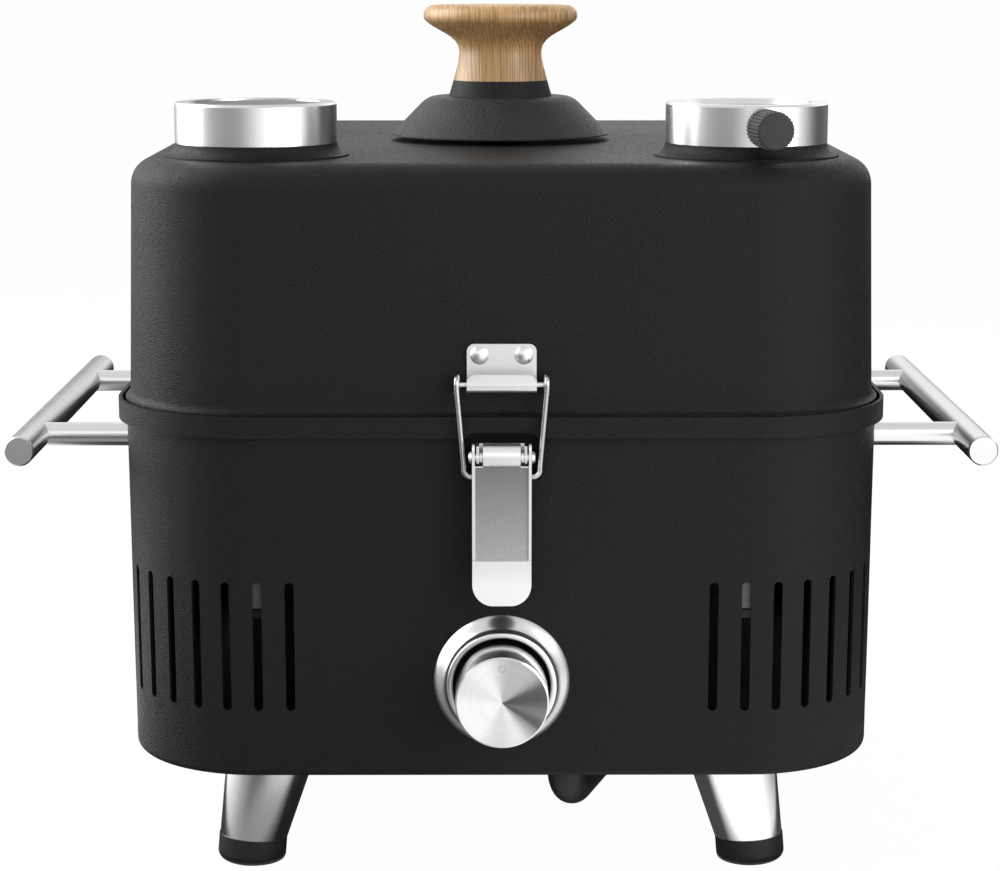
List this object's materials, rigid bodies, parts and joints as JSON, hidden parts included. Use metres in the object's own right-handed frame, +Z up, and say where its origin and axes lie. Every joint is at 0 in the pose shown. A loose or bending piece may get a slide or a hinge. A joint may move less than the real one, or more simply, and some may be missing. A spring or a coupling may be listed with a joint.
{
  "type": "portable gas grill",
  "caption": "Portable gas grill: square tub on short legs, lift-off lid with thermometer, vent, wooden knob and toggle latches.",
  "frame": {"origin": "on the ground under the middle of the bounding box", "axes": "+Z up, -Y towards the front with the gas knob, +X to the right seen from the front"},
  "size_m": [0.556, 0.4834, 0.4829],
  "materials": {
    "black_coat": "fine textured matt black coating",
    "satin_steel": "satin brushed steel",
    "inner_steel": "plain rolled steel",
    "cast_grate": "seasoned cast iron",
    "brass": "machined brass",
    "black_rubber": "moulded matt rubber",
    "black_plastic": "moulded heat-resistant plastic",
    "ceramic": "glazed white ceramic",
    "dial_white": "plain white dial",
    "needle_black": "black painted needle",
    "lens_glass": "clear flat glass",
    "oak": "oiled light oak"
  },
  "bodies": {
    "base": {"base_shell": "black_coat", "firebox": "inner_steel", "firebox_brackets": "satin_steel", "case_screws": "inner_steel", "burner": "inner_steel", "gas_jet": "brass", "gas_valve": "brass", "gas_pipe": "brass", "inlet_elbow": "black_plastic", "inlet_fitting": "brass", "knob_bezel": "satin_steel", "igniter_insulator": "ceramic", "igniter_tip": "inner_steel", "leg_front_left": "satin_steel", "leg_front_right": "satin_steel", "leg_rear_left": "satin_steel", "leg_rear_right": "satin_steel", "foot_front_left": "black_rubber", "foot_front_right": "black_rubber", "foot_rear_left": "black_rubber", "foot_rear_right": "black_rubber", "leg_bolts": "inner_steel", "handle_bar_left": "satin_steel", "handle_bar_right": "satin_steel", "handle_posts_left": "satin_steel", "handle_posts_right": "satin_steel", "latch_pad_front": "black_rubber", "latch_pad_rear": "black_rubber", "latch_bracket_front": "satin_steel", "latch_bracket_rear": "satin_steel", "latch_pins": "satin_steel", "tray_rails": "inner_steel"},
    "lid": {"lid_shell": "black_coat", "thermometer_cup": "satin_steel", "thermometer_dial": "dial_white", "thermometer_lens": "lens_glass", "thermometer_probe": "inner_steel", "vent_cup": "satin_steel", "knob_skirt": "black_coat", "knob_collar": "black_plastic", "lid_knob": "oak", "knob_bolt": "inner_steel", "strike_front": "satin_steel", "strike_rear": "satin_steel", "strike_rivets": "satin_steel", "bail_pins": "satin_steel"},
    "needle": {"thermometer_needle": "needle_black"},
    "damper": {"damper_flap": "satin_steel", "damper_shaft": "inner_steel", "damper_knob": "black_plastic"},
    "stem_push": {"stem_collar": "inner_steel"},
    "knob": {"gas_knob": "satin_steel", "valve_stem": "inner_steel"},
    "lever_front": {"latch_lever_front": "satin_steel"},
    "lever_rear": {"latch_lever_rear": "satin_steel"},
    "bail_front": {"bail_front": "satin_steel"},
    "bail_rear": {"bail_rear": "satin_steel"},
    "grate": {"cooking_grate": "cast_grate"},
    "tray": {"grease_tray": "inner_steel"}
  },
  "joints": [
    {"name": "lid_lift", "type": "slide", "parent": "base", "child": "lid", "axis": [0, 0, 1], "range_m": [0, 0.26]},
    {"name": "needle_turn", "type": "hinge", "parent": "lid", "child": "needle", "pos_m": [-0.135, -0.12467, 0.4202], "axis": [0, 0, -1], "range_deg": [0, 270]},
    {"name": "damper_turn", "type": "hinge", "parent": "lid", "child": "damper", "pos_m": [0.135, -0.12467, 0.4202], "axis": [0.1219, -0.9925, 0], "range_deg": [0, 90]},
    {"name": "knob_push", "type": "slide", "parent": "base", "child": "stem_push", "axis": [0, 1, 0], "range_m": [0, 0.004], "stiffness_N_per_m": 1500},
    {"name": "knob_turn", "type": "hinge", "parent": "stem_push", "child": "knob", "pos_m": [0, -0.19917, 0.124], "axis": [0, -1, 0], "range_deg": [0, 180]},
    {"name": "lever_front_swing", "type": "hinge", "parent": "base", "child": "lever_front", "pos_m": [0, -0.21372, 0.2503], "axis": [-1, 0, 0], "range_deg": [0, 120]},
    {"name": "lever_rear_swing", "type": "hinge", "parent": "base", "child": "lever_rear", "pos_m": [0, 0.23438, 0.2503], "axis": [1, 0, 0], "range_deg": [0, 120]},
    {"name": "bail_front_swing", "type": "hinge", "parent": "lid", "child": "bail_front", "pos_m": [0, -0.20317, 0.2875], "axis": [-1, 0, 0], "range_deg": [0, 110]},
    {"name": "bail_rear_swing", "type": "hinge", "parent": "lid", "child": "bail_rear", "pos_m": [0, 0.22382, 0.2875], "axis": [1, 0, 0], "range_deg": [0, 110]},
    {"name": "grate_lift", "type": "slide", "parent": "base", "child": "grate", "axis": [0, 0, 1], "range_m": [0, 0.06]},
    {"name": "tray_slide", "type": "slide", "parent": "base", "child": "tray", "axis": [0, 1, 0], "range_m": [0, 0.2]}
  ]
}
